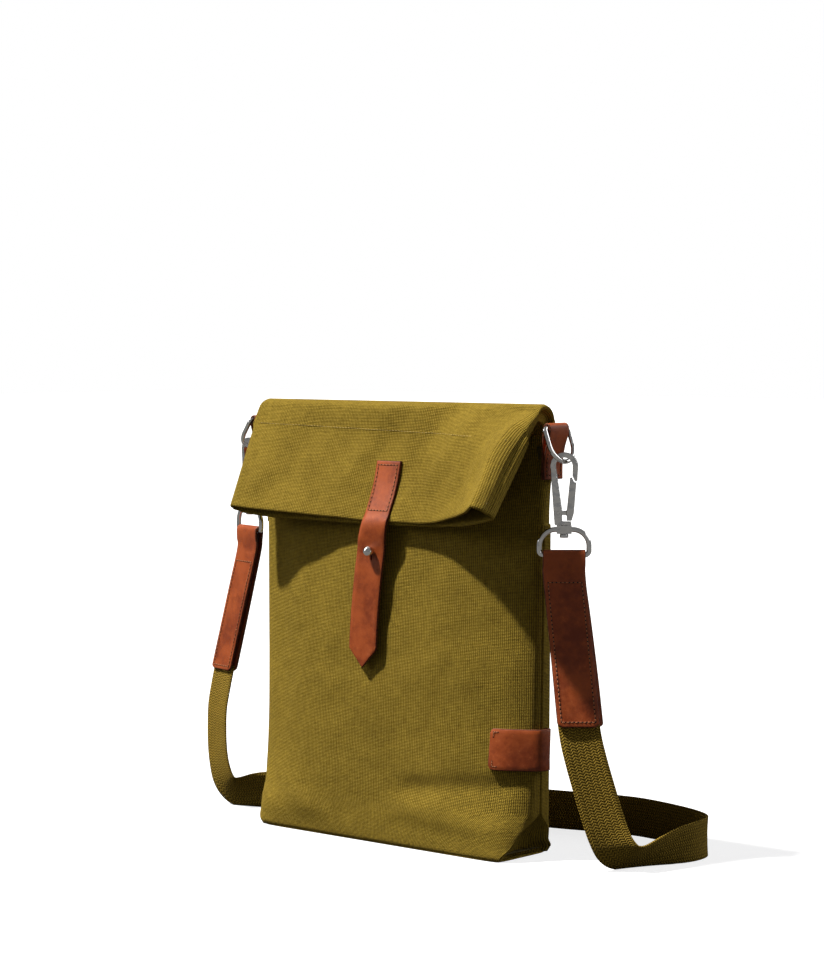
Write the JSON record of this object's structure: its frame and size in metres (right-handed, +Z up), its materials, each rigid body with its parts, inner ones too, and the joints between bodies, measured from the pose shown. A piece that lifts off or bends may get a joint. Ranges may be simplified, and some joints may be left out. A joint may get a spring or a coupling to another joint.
{
  "type": "messenger bag",
  "caption": "Canvas messenger bag with a fold-over flap, leather closing strap on a ball stud, leather trim, D-rings, snap hooks and a webbing shoulder strap",
  "frame": {"origin": "on the floor, under the middle of the flat base panel", "axes": "+Z up, front with the flap and closing strap towards -Y, +X to the right as seen from the front"},
  "size_m": [0.4347, 0.1958, 0.334],
  "materials": {
    "canvas": "olive waxed cotton canvas, plain weave",
    "facing": "olive cotton facing",
    "lining_cloth": "thin cotton lining",
    "leather": "tan vegetable leather, satin",
    "steel": "polished nickel plate",
    "webbing": "olive cotton webbing, twill weave",
    "thread": "waxed brown thread"
  },
  "bodies": {
    "bag": {"base_panel": "canvas", "front_panel": "canvas", "back_panel": "canvas", "lining": "lining_cloth", "inner_pocket": "lining_cloth", "rear_pocket": "canvas", "leather_label": "leather", "closure_stud": "steel", "stud_patch": "leather", "stud_screw": "steel", "top_fold": "canvas", "left_dee_tab": "leather", "right_dee_tab": "leather", "webbing_long": "webbing", "webbing_short": "webbing", "slide_adjuster": "steel"},
    "flap": {"flap_outer": "canvas", "flap_inner": "canvas", "mouth_facing": "facing", "strap_anchor": "leather"},
    "closing_strap": {"closing_strap": "leather"},
    "right_strap": {"right_dee_ring": "steel", "right_swivel_ring": "steel", "right_strap_end": "leather", "right_webbing_end": "webbing", "right_strap_end_thread": "thread"},
    "right_hook": {"right_hook_body": "steel", "right_gate_pin": "steel", "right_gate_spring": "steel"},
    "right_gate": {"right_hook_gate": "steel"},
    "left_strap": {"left_dee_ring": "steel", "left_swivel_ring": "steel", "left_strap_end": "leather", "left_webbing_end": "webbing", "left_strap_end_thread": "thread"},
    "left_hook": {"left_hook_body": "steel", "left_gate_pin": "steel", "left_gate_spring": "steel"},
    "left_gate": {"left_hook_gate": "steel"}
  },
  "joints": [
    {"name": "flap_fold", "type": "hinge", "parent": "bag", "child": "flap", "pos_m": [0, -0.001, 0.323], "axis": [-1, 0, 0], "range_deg": [0, 145], "deforming": ["top_fold"]},
    {"name": "closing_strap_swing", "type": "hinge", "parent": "flap", "child": "closing_strap", "pos_m": [0, -0.033, 0.2463], "axis": [-1, 0, 0], "range_deg": [0, 100]},
    {"name": "right_dee_swing", "type": "hinge", "parent": "bag", "child": "right_strap", "pos_m": [0.1473, 0.0018, 0.317], "axis": [0, -1, 0], "range_deg": [0, 15]},
    {"name": "right_hook_swivel", "type": "hinge", "parent": "right_strap", "child": "right_hook", "pos_m": [0.156, 0.0003, 0.25282], "axis": [0, 0, 1], "range_deg": [-25, 0]},
    {"name": "right_gate_press", "type": "hinge", "parent": "right_hook", "child": "right_gate", "pos_m": [0.15236, -0.0018, 0.25582], "axis": [0.5, -0.866, 0], "range_deg": [0, 17], "stiffness_Nm_per_rad": 0.03, "springref_deg": -17.19},
    {"name": "left_dee_swing", "type": "hinge", "parent": "bag", "child": "left_strap", "pos_m": [-0.1473, 0.001, 0.317], "axis": [0, 1, 0], "range_deg": [0, 15]},
    {"name": "left_hook_swivel", "type": "hinge", "parent": "left_strap", "child": "left_hook", "pos_m": [-0.1615, 0.0005, 0.25558], "axis": [0, 0, 1], "range_deg": [-12, 30]},
    {"name": "left_gate_press", "type": "hinge", "parent": "left_hook", "child": "left_gate", "pos_m": [-0.16554, 0.00166, 0.25858], "axis": [-0.2756, -0.9613, 0], "range_deg": [0, 17], "stiffness_Nm_per_rad": 0.03, "springref_deg": -17.19}
  ]
}
